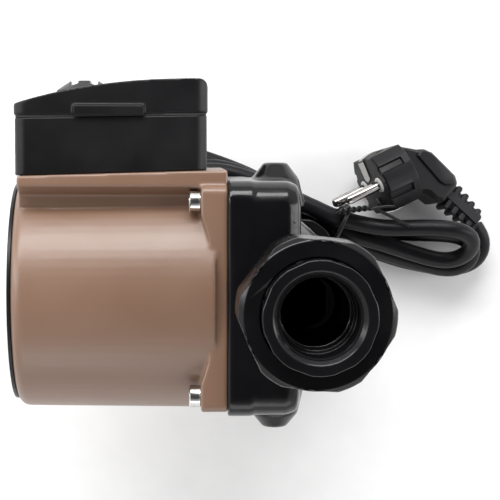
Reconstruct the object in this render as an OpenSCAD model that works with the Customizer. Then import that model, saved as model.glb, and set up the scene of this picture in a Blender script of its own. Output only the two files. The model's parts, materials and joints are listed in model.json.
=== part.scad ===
// In-line circulator pump with a wet-rotor motor, two pipe unions and a mains lead.
// The pipe axis is +Z and the motor's shaft runs along X, with the terminal box on +Y.
// The origin is the centre of the lower union's mouth, where the riser pipe screws in.

/* [Pipe] */
// Port face to port face of the pump housing
port_to_port = 180; // [150:1:200]
// Pitch radius of the G1 1/2 thread on each port
port_thread_r = 23.1; // [22:0.1:24]
// Wall radius of the G1 female thread in each union tail
tail_thread_r = 15.15; // [14:0.05:16]
// Length of the female thread in each union tail
tail_thread_length = 15; // [10:1:18]
// Width across the flats of the union nuts
nut_flats = 55; // [54:0.5:56]
// Height of a union nut
nut_height = 27.5; // [24:0.5:30]
// Radius of the waterway
waterway_r = 12.5; // [11:0.5:13]

/* [Pump housing] */
// Half height and half depth of the housing's flange
flange_half = 47.8; // [46:0.1:49]
// Thickness of the housing's flange
flange_thickness = 10; // [8:0.5:12]
// Plane where the motor meets the pump housing
joint_x = -31; // [-33:0.5:-29]
// Face of the housing away from the motor
housing_end_x = -1.5; // [-3:0.5:0]
// Radius of the two drilling bosses
boss_r = 10; // [8:0.5:10]

/* [Motor] */
// Distance of the motor's far end from the pipe axis
motor_end_x = -117.5; // [-120:0.5:-115]
// Outer radius of the motor housing at the flange
motor_r = 49.8; // [48:0.1:50]
// Half width of the motor's square flange
motor_flange_half = 45.5; // [44:0.5:46]
// Distance of each motor screw from the shaft axis, up and across
screw_offset = 39.4; // [39:0.1:40]
// Radius of the motor shaft
shaft_r = 5.5; // [5:0.1:6]
// Outer radius of the impeller
impeller_r = 30; // [26:1:31]
// Number of impeller vanes
vane_count = 6; // [5:1:8]

/* [Terminal box] */
// Length of the terminal box along the motor
box_length = 78; // [76:0.5:79]
// Width of the terminal box across the motor
box_width = 75; // [70:1:78]
// Wall thickness of the terminal box
box_wall = 2.4; // [2:0.1:3]
// Radius of the speed knob
knob_r = 12; // [10:0.5:13]

/* [Mains lead] */
// Outer diameter of the mains lead
cord_d = 8; // [7:0.1:8]
// Radius of the plug's round head
plug_r = 18.5; // [17:0.5:19]
// Radius of a plug pin
pin_r = 2.4; // [2.3:0.05:2.4]
// Length of a plug pin
pin_length = 19; // [18:0.5:19]

/* [Hidden] */

$fn = 64;
fine = 96;

// Stack of each union, measured outwards from the port face
gasket_thickness = 2.5;
collar_thickness = 4.5;
tail_length = 23;
tail_base = port_to_port / 2 + gasket_thickness;
tail_bore_r = 13.5;
shaft_z = port_to_port / 2 + tail_length;
collar_r = 22.9;
trunk_r = 20;
root_flare = 5;
root_start = 36;
root_length = 26;
thread_relief = 3;
flange_corner_r = 9;
block_half = 47.5;
block_corner_r = 10;
block_round = 5.5;
belly_r = 36;
belly_end_r = 22;
belly_length = 16;
boss_x = -9.4;
boss_root = 36;
rib_half = 46.5;
rib_thickness = 2;
collar_play = 0.1;
nut_bore_r = port_thread_r + 0.06;
nut_lip_r = 21.35;
tail_shank_r = 21;
tail_flats = 41.3;
nut_start = 76;
nut_end = nut_start + nut_height;
nut_corner_r = 29.4;
nut_chamfer = 2;
nut_turn = -6;
tail_turn = 24.4;

// Rotor and its chamber, as distances along X
gasket_outer_r = 41.8;
gasket_inner_r = 37.7;
volute_r = 9.5;
volute_lean = 36;
thread_depth = 9;
chamber_r = 34;
chamber_end_x = -18;
seat_r = 16.5;
eye_r = 11.5;
can_r = 22.7;
can_wall = 0.5;
can_flange_r = 30;
can_end_x = -112;
core_start_x = -98;
core_end_x = -58;
core_r = 21.6;
stator_r = 44.3;
bush_r = 9;
bush_length = 8;
front_bush_x = -40;
rear_bush_x = -109;
shaft_end_x = -20.4;
shaft_bore_r = 1.2;
back_disc_x = -29.4;
front_disc_x = -21.5;
vane_turn = 38;
shaft_play = 0.04;
slot_count = 6;
slot_width = 8;
slot_inner_r = 27;
slot_depth = 11;
winding_r = 41;
winding_inner_r = 26;
winding_overhang = 11;

// Motor housing
motor_wall = 5;
motor_draft = 1.2;
motor_edge_r = 4.5;
end_wall = 3.5;
vent_hole_r = 12;
flange_ear = 10.7;
flange_waist = 4.8;
motor_corner_r = 3;
scallop_depth = flange_ear - flange_waist;
scallop_half = 34;
scallop_r = (pow(scallop_half, 2) + pow(scallop_depth, 2)) / (2 * scallop_depth);
ledge_half = 42;
ledge_low = 45.3;
ledge_top = 53;
plate_thickness = 1.5;
plate_r = 42.8;
screw_r = 2.45;
screw_head_r = 4.25;
screw_head = 4.8;
socket_r = 2.3;
cover_r = 45.5;
cover_thickness = 1.5;
label_r = 36;
label_hole_r = 14;
label_thickness = 0.4;
seal_r = 10.2;
vent_head_r = 9;
vent_head = 3;
vent_stem_r = 6;

// Terminal box
box_x0 = -116.8;
box_x1 = box_x0 + box_length;
box_z0 = shaft_z - box_width / 2;
box_z1 = shaft_z + box_width / 2;
seat_y0 = 49.3;
seat_y1 = 51.6;
seam_y0 = 72.7;
seam_y1 = 74;
seal_thickness = 0.8;
lid_y0 = 78.2;
lid_rise = 10.4;
lid_power = 2.4;
lid_corner_r = 3.5;
lid_boss_r = 4.6;
lid_screw_y = 85.6;
tab_low = [-92.7, 74];
tab_size = [28.3, 3.6, 2.5];
box_corner = 5;
knob_x = -90;
knob_base_y = 81;
knob_top_y = 88.8;
knob_disc = 3.8;
knob_crown_r = 6;
knob_grip = 5.2;
knob_shaft_r = 3;
lid_screw_x = -52;
box_screw_x = -47;
box_screw_z = 30.5;
box_screw_r = 1.95;
wire_hole_x = -96;
wire_hole_r = 5;
switch_width = 22;
block_low = [-74, 54.4, shaft_z - 27];
block_size = [30, 11, 13];
wire_pitch = 10;
capacitor_r = 11;
capacitor_length = 34;

// Cable gland, under the terminal box
gland_x = -62;
gland_y = 63;
gland_thread_r = 7.9;
gland_hex_r = 11.2;
gland_nut_r = 10.6;
gland_nut_z = 16;
gland_end_z = 52;
guard_end_z = 32;
lead_hole_r = cord_d / 2 + 0.1;

// Plug, lying beside the hank with its pins one above the other
plug_face = [44, 42, 23.5];
plug_turn = 24.7;
plug_tilt = 15;
head_length = 16;
head_flat = 14;
pin_offset = 9.5;
pin_nose = 1.6;
relief_start = [31.5, -15.5, 0];
relief_turn = -66;
relief_length = 25;

// Route of the lead from the cord guard down to the hank
lead_route = [
    [-62, 63, 32], [-62, 63, 28], [-61.5, 62.8, 22.5], [-59.5, 62.2, 16.5],
    [-55.5, 61, 11], [-50, 59.2, 7], [-43, 57, 4.8], [-35, 54.5, 4.2], [-28, 52, 4.2]
];
// Route of the lead from the plug's strain relief round to the hank
plug_route = [
    [96.6, 22, 12.5], [98.8, 19.6, 12.1], [100.6, 16.4, 11.4], [101.4, 12.6, 10.4],
    [100.8, 8.6, 9.2], [98.4, 5, 7.8], [94.8, 2.4, 6.4], [90, 1, 5.2]
];
// Outline of the hank on the floor, round the lower union
hank_outline = [
    [99.5, 9], [99, 3.5], [94, -1], [86, -3.4], [70, -1.6], [56, 1.8], [44, 6], [33, 10.3],
    [25, 13], [18, 14.5], [9, 19.5], [0, 22.2], [-8, 21], [-17, 16.5], [-26, 11.3], [-33, 7.5],
    [-42, 7.2], [-51, 9.5], [-58, 16], [-61.5, 26], [-61.5, 38], [-57, 48], [-49, 54], [-40, 56],
    [-28, 56.2], [-14, 50.5], [0, 42.6], [14, 36.8], [25, 30.4], [34, 29.5], [44, 26.4],
    [57, 26.3], [69, 26.9], [80, 26], [87, 21.5], [94, 16.5]
];
hank_height = 33;
nut_floor_gap = 8.6;
fold_height = 43;
fold_x = 44;
tie_place = [31.5, 22.4, 0];
tie_turn = -22;

function arc(centre, r, from, turn, steps = 6) =
    [for (i = [0 : steps]) centre + r * [cos(from + turn * i / steps), sin(from + turn * i / steps)]];

function round_rect(low, high, r) = concat(
    arc([high.x - r, high.y - r], r, 0, 90),
    arc([low.x + r, high.y - r], r, 90, 90),
    arc([low.x + r, low.y + r], r, 180, 90),
    arc([high.x - r, low.y + r], r, 270, 90)
);

function round_square(half, r) = round_rect([-half, -half], [half, half], r);

// Height of the lid's curved top
function lid_top(x) = lid_y0 + lid_rise * (1 - pow(1 - (x - box_x0) / box_length, lid_power));

// Places its children on the shaft, with their z along X and their y up
module on_shaft(x = 0) {
    translate([x, 0, shaft_z]) rotate([0, 90, 0]) children();
}

module ring(outer, inner, length) {
    difference() {
        cylinder(r = outer, h = length);
        translate([0, 0, -1]) cylinder(r = inner, h = length + 2);
    }
}

// Places its children at the upper port, and mirrored at the lower one
module at_port(side) {
    translate([0, 0, shaft_z]) mirror([0, 0, side < 0 ? 1 : 0]) children();
}

// ---------- pump housing and its passages ----------

module housing_outside() {
    on_shaft(joint_x) linear_extrude(flange_thickness) polygon(round_square(flange_half, flange_corner_r));
    hull() {
        block_slice(joint_x, 0, housing_end_x - joint_x - block_round);
        block_slice(housing_end_x - 1.6, 1.5);
        block_slice(housing_end_x - 0.1, block_round);
    }
    for (side = [-1, 1]) {
        at_port(side) cylinder(r = trunk_r, h = port_to_port / 2);
        at_port(side) translate([0, 0, root_start])
            cylinder(r1 = trunk_r + root_flare, r2 = trunk_r, h = root_length);
        at_port(side) translate([0, 0, nut_start - thread_relief - 1])
            cylinder(r1 = trunk_r, r2 = port_thread_r, h = thread_relief);
        at_port(side) translate([0, 0, nut_start - 1])
            cylinder(r = port_thread_r, h = port_to_port / 2 - nut_start + 1);
    }
    on_shaft(housing_end_x - 4) cylinder(r1 = belly_r, r2 = belly_end_r, h = belly_length);
    drilling_boss(-90, 13, 12, 5, 6.5);
    drilling_boss(90, 14, 17, 5, 6);
    translate([joint_x + 1, -rib_thickness / 2, shaft_z - rib_half])
        cube([-joint_x - 1, rib_thickness, 2 * rib_half]);
}

// Slice of the housing's block, drawn in by inset
module block_slice(x, inset, thickness = 0.1) {
    on_shaft(x) linear_extrude(thickness)
        polygon(round_square(block_half - inset, block_corner_r - 0.7 * inset));
}

// Boss that is drilled for a gauge or a drain, narrowing from its root to its nose
module drilling_boss(turn, root_r, length, nose_r, nose_length) {
    translate([boss_x, 0, shaft_z]) rotate([turn, 0, 0]) {
        translate([0, 0, boss_root]) cylinder(r1 = root_r, r2 = boss_r, h = length);
        translate([0, 0, boss_root + length]) cylinder(r1 = boss_r, r2 = nose_r, h = nose_length);
    }
}

module housing_passages() {
    on_shaft(joint_x - 1) cylinder(r = chamber_r, h = chamber_end_x - joint_x + 1);
    on_shaft(joint_x - 1) ring(gasket_outer_r + 0.2, gasket_inner_r - 0.2, 2.5);
    on_shaft(chamber_end_x - 1) cylinder(r = seat_r, h = 9);
    on_shaft(chamber_end_x) cylinder(r = waterway_r - 0.5, h = -chamber_end_x);
    at_port(-1) translate([0, 0, -waterway_r])
        cylinder(r = waterway_r, h = port_to_port / 2 + waterway_r + 1);
    translate([-24, 0, shaft_z + 22]) rotate([0, volute_lean, 0]) cylinder(r = volute_r, h = 42);
    at_port(1) translate([0, 0, 52]) cylinder(r = waterway_r, h = port_to_port / 2);
    for (y = [-1, 1], z = [-1, 1])
        translate([joint_x - 1, y * screw_offset, shaft_z + z * screw_offset])
            rotate([0, 90, 0]) cylinder(r = screw_r + 0.05, h = thread_depth + 1);
}

module pump_housing() {
    color([0.04, 0.04, 0.045]) difference() {
        housing_outside();
        housing_passages();
    }
}

module wear_ring() {
    color("silver") on_shaft(-16.6) ring(seat_r, 14.2, 3.8);
}

module housing_gasket() {
    color([0.05, 0.05, 0.05]) on_shaft(joint_x) ring(gasket_outer_r, gasket_inner_r, 1.4);
}

module bearing_plate() {
    color("silver") {
        on_shaft(joint_x - plate_thickness) difference() {
            cylinder(r = plate_r, h = plate_thickness);
            translate([0, 0, -1]) cylinder(r = bush_r, h = plate_thickness + 2);
        }
        on_shaft(front_bush_x) ring(bush_r + 2, bush_r, joint_x - front_bush_x);
    }
}

module front_bearing() {
    color([0.2, 0.2, 0.2]) on_shaft(front_bush_x) ring(bush_r, shaft_r + shaft_play, bush_length);
}

// ---------- motor ----------

module rotor_can() {
    color("silver") {
        on_shaft(can_end_x) ring(can_r, can_r - can_wall, joint_x - plate_thickness - can_end_x);
        on_shaft(can_end_x) ring(can_r, bush_r, 1);
        on_shaft(can_end_x) ring(bush_r + 1, bush_r, bush_length + 3);
        on_shaft(joint_x - 2 * plate_thickness) ring(can_flange_r, can_r, plate_thickness);
    }
}

module rear_bearing() {
    color([0.2, 0.2, 0.2]) on_shaft(rear_bush_x) ring(bush_r, shaft_r + shaft_play, bush_length);
}

module can_seal() {
    color([0.05, 0.05, 0.05]) on_shaft(joint_x - 2 * plate_thickness)
        ring(can_flange_r + 3, can_flange_r + 0.1, plate_thickness);
}

module slot_bars(width, length) {
    for (i = [0 : slot_count - 1])
        rotate([0, 0, i * 360 / slot_count + 30])
            translate([slot_inner_r, -width / 2, 0]) cube([slot_depth, width, length]);
}

module stator_stack() {
    color([0.35, 0.35, 0.37]) on_shaft(core_start_x) difference() {
        ring(stator_r, can_r + 0.1, core_end_x - core_start_x);
        translate([0, 0, -1]) slot_bars(slot_width + 0.2, core_end_x - core_start_x + 2);
    }
}

module stator_windings() {
    color([0.65, 0.32, 0.12]) {
        for (x = [core_start_x - winding_overhang, core_end_x])
            on_shaft(x) ring(winding_r, winding_inner_r, winding_overhang);
        on_shaft(core_start_x - 1) slot_bars(slot_width, core_end_x - core_start_x + 2);
    }
}

// Half section of the motor's round body, radius against distance from its far end
function motor_profile() = let (length = joint_x - motor_end_x) concat(
    [[0, 0]],
    arc([motor_r - motor_draft - motor_edge_r, motor_edge_r], motor_edge_r, -90, 90, 8),
    [[motor_r, length - flange_waist], [0, length - flange_waist]]
);

// Seat of the terminal box across the top of the body, seen along the shaft
module box_ledge_section() {
    polygon([
        [-ledge_half, ledge_low], [-ledge_half, ledge_top], [ledge_half, ledge_top], [ledge_half, ledge_low],
        [34, 42], [33.2, 37.6], [0, 20], [-33.2, 37.6], [-34, 42]
    ]);
}

module box_ledge() {
    difference() {
        on_shaft(motor_end_x + 2.5) linear_extrude(joint_x - motor_end_x - 2.5) box_ledge_section();
        translate([box_x0, seat_y0, 0]) rotate([0, 0, atan2(seat_y1 - seat_y0, box_length)])
            translate([-10, 0, 0]) cube([110, 10, 2 * shaft_z]);
    }
}

module motor_flange() {
    difference() {
        on_shaft(joint_x - flange_ear) linear_extrude(flange_ear)
            polygon(round_square(motor_flange_half, motor_corner_r));
        translate([joint_x - flange_ear + scallop_depth - scallop_r, 0, 0])
            cylinder(r = scallop_r, h = 2 * shaft_z, $fn = fine);
        translate([joint_x - flange_ear + scallop_depth - scallop_r, 60, shaft_z])
            rotate([90, 0, 0]) cylinder(r = scallop_r, h = 120, $fn = fine);
    }
}

module motor_housing() {
    color([0.60, 0.43, 0.34]) difference() {
        union() {
            on_shaft(motor_end_x) rotate_extrude($fn = fine) polygon(motor_profile());
            box_ledge();
            motor_flange();
        }
        on_shaft(motor_end_x + end_wall) cylinder(r = motor_r - motor_wall, h = 100);
        on_shaft(joint_x - 2 * plate_thickness) cylinder(r = plate_r + 0.1, h = 10);
        on_shaft(motor_end_x - 1) cylinder(r = vent_hole_r, h = end_wall + 2);
        for (y = [-1, 1], z = [-1, 1])
            translate([joint_x - 20, y * screw_offset, shaft_z + z * screw_offset])
                rotate([0, 90, 0]) cylinder(r = screw_r + 0.3, h = 30);
        at_box_screws(40) cylinder(r = box_screw_r + 0.05, h = 20);
        above_box(wire_hole_x, 40) cylinder(r = wire_hole_r, h = 20);
    }
}

module end_cover() {
    color([0.03, 0.03, 0.03]) on_shaft(motor_end_x - cover_thickness) difference() {
        cylinder(r = cover_r, h = cover_thickness);
        translate([0, 0, -1]) cylinder(r = seal_r + 0.2, h = cover_thickness + 2);
    }
}

module name_plate() {
    color("silver") on_shaft(motor_end_x - cover_thickness - label_thickness)
        ring(label_r, label_hole_r, label_thickness);
}

module vent_seal() {
    color([0.05, 0.05, 0.05]) on_shaft(motor_end_x - 0.6) ring(seal_r, vent_stem_r + 0.4, 1.4);
}

// Slotted screw that lets air out of the rotor space
module vent_screw() {
    color("gold") {
        on_shaft(motor_end_x - vent_head - 0.6) difference() {
            cylinder(r = vent_head_r, h = vent_head);
            translate([-1, -vent_head_r - 1, -1]) cube([2, 2 * vent_head_r + 2, 2.4]);
        }
        on_shaft(motor_end_x - 0.6) cylinder(r = vent_stem_r, h = 5.4);
    }
}

module motor_screws() {
    color("silver") for (y = [-1, 1], z = [-1, 1])
        translate([joint_x - flange_ear - screw_head, y * screw_offset, shaft_z + z * screw_offset])
            rotate([0, 90, 0]) difference() {
                union() {
                    cylinder(r = screw_head_r, h = screw_head);
                    cylinder(r = screw_r, h = screw_head + flange_ear + thread_depth - 1);
                }
                translate([0, 0, -1]) cylinder(r = socket_r, h = 3.5, $fn = 6);
            }
}

// ---------- rotor ----------

module shaft() {
    color("gainsboro") on_shaft(rear_bush_x - 1) difference() {
        cylinder(r = shaft_r, h = shaft_end_x - rear_bush_x + 1);
        translate([0, 0, -1]) cylinder(r = shaft_bore_r, h = 100);
    }
}

module rotor_core() {
    color([0.5, 0.5, 0.52]) on_shaft(core_start_x) ring(core_r, shaft_r, core_end_x - core_start_x);
}

module thrust_bearing() {
    color([0.25, 0.25, 0.27]) on_shaft(front_bush_x - 4.3) ring(bush_r - 0.5, shaft_r, 4);
}

module impeller() {
    color([0.85, 0.82, 0.72]) {
        on_shaft(back_disc_x) ring(impeller_r, shaft_r, 2);
        on_shaft(back_disc_x) ring(8, shaft_r, front_disc_x - back_disc_x);
        on_shaft(front_disc_x) ring(impeller_r, eye_r, 1.7);
        on_shaft(front_disc_x) ring(eye_r + 2.4, eye_r, 7.2);
        for (i = [0 : vane_count - 1])
            on_shaft(back_disc_x + 1.9) rotate([0, 0, i * 360 / vane_count]) translate([eye_r + 0.5, 0, 0])
                rotate([0, 0, vane_turn]) cube([impeller_r - 9.5, 1.6, front_disc_x - back_disc_x - 1.8]);
    }
}

module impeller_clip() {
    color("silver") on_shaft(front_disc_x + 0.1) ring(7.4, shaft_r, 1);
}

// ---------- terminal box ----------

module across_box(low_z, high_z) {
    translate([0, 0, low_z]) linear_extrude(high_z - low_z) children();
}

// Plan of the box, raised between two heights
module box_plan(inset, y0, y1) {
    translate([0, y1, 0]) rotate([90, 0, 0]) linear_extrude(y1 - y0)
        polygon(round_rect(
            [box_x0 + inset, box_z0 + inset], [box_x1 - inset, box_z1 - inset], box_corner - inset / 2
        ));
}

module base_side(inset) {
    polygon([
        [box_x0, seat_y0 + inset], [box_x1, seat_y1 + inset],
        [box_x1, seam_y1 + (inset > 0 ? 5 : 0)], [box_x0, seam_y0 + (inset > 0 ? 5 : 0)]
    ]);
}

module lid_side(inset) {
    steps = 16;
    low = inset > 0 ? -5 : 0;
    last = box_length - lid_corner_r;
    polygon(concat(
        [[box_x1 - inset, seam_y1 + seal_thickness + low], [box_x0 + inset, seam_y0 + seal_thickness + low]],
        [for (i = [0 : steps]) let (x = box_x0 + inset + (last - inset) * i / steps) [x, lid_top(x) - inset]],
        [for (a = [75 : -15 : 0]) [
            box_x1 - inset - lid_corner_r * (1 - cos(a)),
            lid_top(box_x1 - lid_corner_r) - inset - lid_corner_r * (1 - sin(a))
        ]]
    ));
}

module terminal_box_base() {
    color([0.045, 0.045, 0.05]) difference() {
        union() {
            difference() {
                intersection() {
                    across_box(box_z0, box_z1) base_side(0);
                    box_plan(0.4, 40, 80);
                }
                intersection() {
                    across_box(box_z0, box_z1) base_side(box_wall);
                    box_plan(box_wall + 0.4, 40, 90);
                }
            }
            above_box(lid_screw_x, 52) cylinder(r = lid_boss_r + 0.4, h = 21);
            above_box(knob_x, 52) ring(9, 6, 2);
        }
        above_box(lid_screw_x, 58) cylinder(r = box_screw_r + 0.05, h = 30);
        at_box_screws(40) cylinder(r = box_screw_r + 0.25, h = 20);
        above_box(wire_hole_x, 40) cylinder(r = wire_hole_r, h = 20);
        translate([gland_x, gland_y, box_z0 - 1]) cylinder(r = gland_thread_r + 0.1, h = 8);
    }
}

module terminal_box_lid() {
    color([0.045, 0.045, 0.05]) {
        difference() {
            union() {
                difference() {
                    lid_outside(0);
                    lid_outside(box_wall);
                }
                intersection() {
                    lid_outside(0);
                    union() {
                        above_box(knob_x, knob_base_y - 2) cylinder(r = knob_r + 2, h = 16);
                        above_box(lid_screw_x, 73.6) cylinder(r = lid_boss_r, h = 20);
                    }
                }
            }
            above_box(knob_x, knob_base_y - 0.4) cylinder(r = knob_r + 0.6, h = 20);
            above_box(knob_x, 70) cylinder(r = knob_shaft_r + 0.4, h = 20);
            above_box(lid_screw_x, 70) cylinder(r = box_screw_r + 0.25, h = 30);
            above_box(lid_screw_x, lid_screw_y - 0.1) cylinder(r = 4.2, h = 10);
        }
        translate([tab_low.x, tab_low.y, box_z1 - 0.5]) cube(tab_size);
    }
}

module lid_outside(inset) {
    intersection() {
        across_box(box_z0, box_z1) lid_side(inset);
        box_plan(inset, 60, 95);
    }
}

// Places its children over the middle of the box, with their z along Y
module above_box(x, y) {
    translate([x, y, shaft_z]) rotate([-90, 0, 0]) children();
}

// Places its children at both screws that hold the box, with their z along Y
module at_box_screws(y) {
    for (side = [-1, 1])
        translate([box_screw_x, y, shaft_z + side * box_screw_z]) rotate([-90, 0, 0]) children();
}

module box_seal() {
    color([0.1, 0.1, 0.1]) difference() {
        intersection() {
            across_box(box_z0, box_z1) polygon([
                [box_x0, seam_y0], [box_x1, seam_y1],
                [box_x1, seam_y1 + seal_thickness], [box_x0, seam_y0 + seal_thickness]
            ]);
            box_plan(0.6, 60, 80);
        }
        box_plan(box_wall, 60, 90);
    }
}

module box_screws() {
    color("silver") at_box_screws(42) {
        cylinder(r = box_screw_r, h = 13);
        translate([0, 0, 12]) cylinder(r = 3.2, h = 2.4);
    }
}

module lid_screw() {
    color("silver") above_box(lid_screw_x, 0) difference() {
        union() {
            translate([0, 0, 60]) cylinder(r = box_screw_r, h = 26);
            translate([0, 0, lid_screw_y]) cylinder(r = 3.9, h = 2.3);
        }
        for (turn = [0, 90])
            rotate([0, 0, turn]) translate([-0.5, -5, lid_screw_y + 1.4]) cube([1, 10, 2]);
    }
}

// Domed knob with a finger groove on each side of its grip, on the switch's shaft
module speed_knob() {
    color([0.05, 0.05, 0.05]) above_box(knob_x, knob_base_y) difference() {
        union() {
            cylinder(r = knob_r, h = knob_disc);
            translate([0, 0, knob_disc])
                cylinder(r1 = knob_r, r2 = knob_crown_r, h = knob_top_y - knob_base_y - knob_disc);
        }
        for (side = [-1, 1])
            translate([side * (knob_grip + 3) / 2 - 1.5, -knob_r * 0.6, knob_disc + 1.2])
                cube([3, knob_r * 1.2, 9]);
        translate([0, 0, -1]) cylinder(r = knob_shaft_r, h = 5.8);
    }
}

module switch_shaft() {
    color("gray") above_box(knob_x, 69.4) cylinder(r = knob_shaft_r, h = 16.4);
}

module speed_switch() {
    color([0.9, 0.9, 0.85]) translate([knob_x - switch_width / 2, 54.6, shaft_z - switch_width / 2])
        cube([switch_width, 14.4, switch_width]);
}

module terminal_block() {
    color([0.92, 0.9, 0.85]) translate(block_low) cube(block_size);
}

module terminal_screws() {
    color("silver") for (i = [0 : 2])
        translate(block_low + [5 + wire_pitch * i, block_size.y, block_size.z / 2])
            rotate([-90, 0, 0]) difference() {
                cylinder(r = 2.6, h = 1.6);
                translate([-0.4, -4, 0.8]) cube([0.8, 8, 2]);
            }
}

module capacitor() {
    color([0.85, 0.85, 0.87]) translate([-78, 67, shaft_z + 21]) rotate([0, 90, 0])
        cylinder(r = capacitor_r, h = capacitor_length);
}

module cord_clamp() {
    color([0.05, 0.05, 0.05]) translate([gland_x - 6, 53.9, box_z0 + 5]) cube([12, 4, 4.5]);
}

// ---------- cable gland ----------

module gland_body() {
    color([0.05, 0.05, 0.05]) translate([gland_x, gland_y, 0]) difference() {
        union() {
            translate([0, 0, box_z0 - 5]) cylinder(r = gland_hex_r, h = 5, $fn = 6);
            translate([0, 0, box_z0 - 15]) cylinder(r = gland_thread_r, h = 19);
        }
        translate([0, 0, box_z0 - 20]) cylinder(r = lead_hole_r, h = 40);
    }
}

module gland_nut() {
    color([0.05, 0.05, 0.05]) translate([gland_x, gland_y, 0]) difference() {
        union() {
            translate([0, 0, box_z0 - gland_nut_z]) cylinder(r = gland_nut_r, h = gland_nut_z - 5.2, $fn = 6);
            translate([0, 0, gland_end_z]) cylinder(r1 = 7.2, r2 = 9, h = box_z0 - gland_nut_z - gland_end_z);
        }
        translate([0, 0, box_z0 - gland_nut_z + 1]) cylinder(r = gland_thread_r + 0.05, h = 20);
        translate([0, 0, gland_end_z - 1]) cylinder(r = lead_hole_r, h = 30);
    }
}

// Tapered rubber guard that keeps the lead from kinking at the gland
module cord_guard() {
    color([0.05, 0.05, 0.05]) translate([gland_x, gland_y, guard_end_z]) difference() {
        cylinder(r1 = 5.2, r2 = 7, h = gland_end_z - guard_end_z);
        translate([0, 0, 4]) cylinder(r = lead_hole_r, h = 30);
    }
}

// ---------- pipe unions ----------

module union_nut() {
    translate([0, 0, nut_start]) difference() {
        intersection() {
            rotate([0, 0, nut_turn]) cylinder(r = nut_flats / 2 / cos(30), h = nut_height, $fn = 6);
            union() {
                cylinder(r = nut_corner_r, h = nut_height - nut_chamfer, $fn = fine);
                translate([0, 0, nut_height - nut_chamfer])
                    cylinder(r1 = nut_corner_r, r2 = nut_corner_r - nut_chamfer, h = nut_chamfer, $fn = fine);
            }
        }
        translate([0, 0, -1])
            cylinder(r = nut_bore_r, h = tail_base + collar_thickness + collar_play - nut_start + 1);
        cylinder(r = nut_lip_r, h = nut_height + 1);
    }
}

module union_gasket() {
    translate([0, 0, port_to_port / 2]) ring(22.6, 14.5, gasket_thickness);
}

module union_tail(chamfer) {
    length = tail_length - gasket_thickness;
    translate([0, 0, tail_base]) difference() {
        union() {
            cylinder(r = collar_r, h = collar_thickness);
            cylinder(r = tail_shank_r, h = nut_end - tail_base + 0.2);
            intersection() {
                rotate([0, 0, tail_turn + 22.5])
                    cylinder(r = tail_flats / 2 / cos(22.5), h = length, $fn = 8);
                cylinder(r = tail_shank_r, h = length);
            }
        }
        translate([0, 0, -1]) cylinder(r = tail_bore_r, h = length);
        translate([0, 0, length - tail_thread_length - chamfer])
            cylinder(r = tail_thread_r, h = tail_thread_length + chamfer + 1);
        if (chamfer > 0)
            translate([0, 0, length - chamfer])
                cylinder(r1 = tail_thread_r, r2 = tail_thread_r + chamfer + 0.01, h = chamfer + 0.01);
    }
}

module upper_union_tail() { color([0.04, 0.04, 0.045]) at_port(1) union_tail(2); }
module upper_union_gasket() { color([0.1, 0.1, 0.1]) at_port(1) union_gasket(); }
module upper_union_nut() { color([0.04, 0.04, 0.045]) at_port(1) union_nut(); }
module lower_union_tail() { color([0.04, 0.04, 0.045]) at_port(-1) union_tail(0); }
module lower_union_gasket() { color([0.1, 0.1, 0.1]) at_port(-1) union_gasket(); }
module lower_union_nut() { color([0.04, 0.04, 0.045]) at_port(-1) union_nut(); }

// ---------- plug ----------

// Plug's own frame: its pins point along -x, one above the other
module at_plug() {
    translate(plug_face) rotate([0, plug_tilt, plug_turn]) children();
}

module plug_body() {
    color([0.05, 0.05, 0.06]) at_plug() difference() {
        union() {
            intersection() {
                rotate([0, 90, 0]) cylinder(r = plug_r, h = head_length);
                translate([-1, -head_flat, -plug_r]) cube([head_length + 2, 2 * head_flat, 2 * plug_r]);
            }
            hull() {
                translate([head_length - 1, -13, -12]) cube([1, 25, 24]);
                translate([head_length + 9, -10, -9]) cube([4, 17, 18]);
                translate(relief_start) rotate([0, 0, relief_turn]) rotate([0, 90, 0])
                    translate([0, 0, -2]) cylinder(r = 7.5, h = 2, $fn = 32);
            }
        }
        for (side = [-1, 1]) {
            translate([-1, side * head_flat - 2, -4]) cube([head_length - 3, 4, 8]);
            rotate([0, 90, 0]) translate([side * pin_offset, 0, -1]) cylinder(r = pin_r, h = 7);
        }
    }
}

module plug_pins() {
    color("silver") at_plug() for (side = [-1, 1])
        translate([0, 0, side * pin_offset]) rotate([0, -90, 0]) {
            translate([0, 0, -5]) cylinder(r = pin_r - 0.05, h = pin_length - pin_nose + 5);
            translate([0, 0, pin_length - pin_nose])
                cylinder(r1 = pin_r - 0.05, r2 = pin_r - 1.2, h = pin_nose);
        }
}

module plug_earth_contacts() {
    color("silver") at_plug() for (side = [-1, 1])
        translate([0.5, side * (head_flat - 1.2) - 0.4, -2.2]) cube([head_length - 5.5, 0.8, 4.4]);
}

module plug_strain_relief() {
    color([0.05, 0.05, 0.06]) at_plug() translate(relief_start) rotate([0, 0, relief_turn])
        rotate([0, 90, 0]) cylinder(r1 = 6.4, r2 = 4.8, h = relief_length);
}

// ---------- lead ----------

function unit(v) = v / norm(v);

// Catmull-Rom point between route points i and i + 1
function smooth(route, i, t) = let (
    a = route[max(i - 1, 0)], b = route[i], c = route[i + 1], d = route[min(i + 2, len(route) - 1)]
) 0.5 * (2 * b + (c - a) * t + (2 * a - 5 * b + 4 * c - d) * t * t + (3 * b - a - 3 * c + d) * t * t * t);

function swept(route, per_span = 2) = concat(
    [for (i = [0 : len(route) - 2], k = [0 : per_span - 1]) smooth(route, i, k / per_span)],
    [route[len(route) - 1]]
);

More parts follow.
